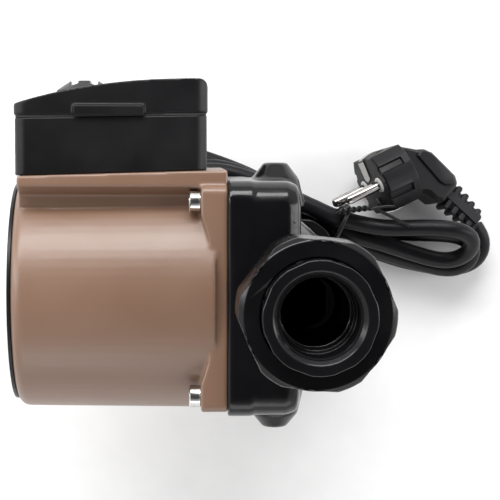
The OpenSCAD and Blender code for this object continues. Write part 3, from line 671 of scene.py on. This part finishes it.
PIN_OFFSET = 0.0095
PIN_R = 0.00235
PIN_SIDES = 32


def pin_matrix(side):
    """The frame of one pin: origin in the plug's face, z along the pin."""
    return PLUG @ Matrix.Translation((0, 0, side * PIN_OFFSET)) @ Matrix.Rotation(math.radians(-90), 4, "Y")


def pin_pair(bm):
    """Two solid pins with rounded tips."""
    for side in (-1, 1):
        lathe(bm, [(-0.004, PIN_R), (0.0165, PIN_R), (0.0180, 0.00215), (0.0187, 0.0015), (0.0189, 0.0007)],
              pin_matrix(side), PIN_SIDES)


def pin_collars(bm):
    """The pale rings where the pins leave the face."""
    bore_r = PIN_R + 0.00005
    for side in (-1, 1):
        lathe(bm, [
            (-0.001, bore_r), (-0.001, 0.0039), (0.0005, 0.0037), (0.0008, 0.0033), (0.0008, bore_r)],
            pin_matrix(side), PIN_SIDES)


pins = add_mesh("plug_pin_pair", pin_pair, "pin_nickel")
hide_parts("plug_pins")
collars = add_mesh("plug_pin_collars", pin_collars, "switch_plastic")
collars.data.materials[0] = COLLAR_WHITE


def earth_clips(bm):
    """Bowed spring contacts in the head's sides, each folded over onto the face."""
    length, half_width, bow, steps = 0.0125, 0.0026, 0.0011, 8
    for side in (-1, 1):
        rings = []
        for i in range(steps + 1):
            t = i / steps
            x = -0.0004 + length * t
            y = side * (0.0136 + bow * math.sin(math.pi * t))
            thick = side * 0.0006
            rings.append([PLUG @ Vector(p) for p in (
                (x, y, -half_width), (x, y, half_width),
                (x, y + thick, half_width), (x, y + thick, -half_width))])
        loft(bm, rings)
    face = PLUG @ Matrix.Rotation(math.radians(-90), 4, "Y")
    tongue = [(-0.0044, 0.0128), (0.0030, 0.0132), (0.0022, 0.0040), (-0.0022, 0.0022), (-0.0046, 0.0040)]
    short_tongue = [(-0.0026, -0.0130), (0.0026, -0.0130), (0.0016, -0.0060), (-0.0016, -0.0060)]
    for plan in (tongue, short_tongue):
        slab(bm, face, plan, [(-0.0002, 0), (0.0005, 0.0001)])


clips = add_mesh("plug_earth_clips", earth_clips, "pin_nickel")
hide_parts("plug_earth_contacts")

# Twist tie: a loop round the five runs, a twisted pair, and two loose ends
TIE_PLACE = Vector((0.0282, 0.0236, 0))
TIE_TURN = math.radians(-22)
TIE_D = 0.0022
TIE_WIRE_D = TIE_D * 0.7


def tie_loop():
    """A rounded square round the runs, standing across the hank."""
    across = Vector((-math.sin(TIE_TURN), math.cos(TIE_TURN), 0))
    half_width, half_height, middle_height = 0.0094, 0.0164, 0.0171
    steps = 40
    line = []
    for i in range(steps + 1):
        a = 2 * math.pi * i / steps
        c, s = math.cos(a), math.sin(a)
        y = half_width * squared(c)
        z = middle_height + half_height * squared(s)
        line.append(TIE_PLACE + across * y + Vector((0.0006 * math.sin(2 * a), 0, z)))
    return line


def tie_twist():
    """The two wires wound on each other, from the loop's top corner along the pins."""
    turns, wire_offset, steps, end_steps = 3, 0.0008, 48, 8
    start, end = Vector((0.0255, 0.0302, 0.0345)), Vector((0.0412, 0.0322, 0.0360))
    ends = (Vector((0.0527, 0.0330, 0.037)), Vector((0.0605, 0.0232, 0.0372)))
    along = (end - start).normalized()
    side = along.cross(Vector((0, 0, 1))).normalized()
    up = side.cross(along)
    lines = []
    for k, tip in enumerate(ends):
        line = []
        for i in range(steps + 1):
            t = i / steps
            a = 2 * math.pi * turns * t + math.pi * k
            line.append(start.lerp(end, t) + (side * math.cos(a) + up * math.sin(a)) * wire_offset)
        bend = end.lerp(tip, 0.5) + Vector((0, 0.0006, 0.0006))
        for i in range(1, end_steps + 1):
            t = i / end_steps
            line.append(line[steps].lerp(bend, t).lerp(bend.lerp(tip, t), t))
        lines.append(line)
    return lines


tie_pieces = [tube("cord_tie_loop", tie_loop(), TIE_D, 3)]
tie_pieces += [tube(f"cord_tie_wire_{k}", line, TIE_WIRE_D, 3) for k, line in enumerate(tie_twist())]
for piece in tie_pieces:
    paint(piece, "tie_plastic")
    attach(piece, "root")
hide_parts("cord_tie")

paint(cord, "cord_rubber")
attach(cord, "root")
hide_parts("cord_lead", "cord_hank", "plug_lead")


# ---------- floor and light ----------

# The room's brightness at the walls and at the ceiling, and the strength of both
WALLS = 0.95
CEILING = 0.06
WORLD_LIGHT = 0.95


def make_stage():
    """A sheet of white paper, large enough to fill the view."""
    mat, tree, shader = new_material("floor_paper")
    paper = place_noise(tree, 60, 4)
    colour = ramp(tree, paper.outputs["Fac"], (0.93, 0.93, 0.93, 1), (0.96, 0.96, 0.96, 1))
    tree.links.new(colour.outputs["Color"], shader.inputs["Base Color"])
    shader.inputs["Roughness"].default_value = 0.9
    mesh = bpy.data.meshes.new("floor")
    half = 4.0
    corners = [(-half, -half, 0), (half, -half, 0), (half, half, 0), (-half, half, 0)]
    mesh.from_pydata(corners, [], [(0, 1, 2, 3)])
    floor = bpy.data.objects.new("floor", mesh)
    floor.data.materials.append(mat)
    bpy.context.collection.objects.link(floor)


def area_light(name, place, target, size, power):
    """A rectangular soft box at place, turned towards target."""
    data = bpy.data.lights.new(name, "AREA")
    data.shape = "RECTANGLE"
    data.size, data.size_y = size
    data.energy = power
    lamp = bpy.data.objects.new(name, data)
    lamp.location = place
    lamp.rotation_euler = (Vector(target) - Vector(place)).to_track_quat("-Z", "Y").to_euler()
    bpy.context.collection.objects.link(lamp)


def make_light():
    """A white room whose ceiling is darker, as over a product table, and large soft boxes round it."""
    world = bpy.data.worlds.new("studio")
    world.use_nodes = True
    tree = world.node_tree
    background = tree.nodes["Background"]
    coords = tree.nodes.new("ShaderNodeTexCoord")
    split = tree.nodes.new("ShaderNodeSeparateXYZ")
    tree.links.new(coords.outputs["Generated"], split.inputs["Vector"])
    shade = ramp(tree, split.outputs["Z"], grey(WALLS), grey(CEILING), 0.55, 0.93)
    tree.links.new(shade.outputs["Color"], background.inputs["Color"])
    background.inputs["Strength"].default_value = WORLD_LIGHT
    bpy.context.scene.world = world
    middle = (0, 0, 0.11)
    area_light("key_above", (-0.25, 1.1, 0.95), middle, (1.6, 0.5), 24)
    area_light("fill_right", (1.3, 0.1, 0.7), middle, (0.4, 1.4), 7)
    area_light("strip_left", (-1.2, 0.3, 0.7), middle, (0.3, 1.3), 6)
    area_light("low_front", (0.1, -1.2, 0.7), middle, (1.6, 0.5), 3.5)


make_stage()
make_light()
bpy.context.scene.view_settings.view_transform = "Standard"
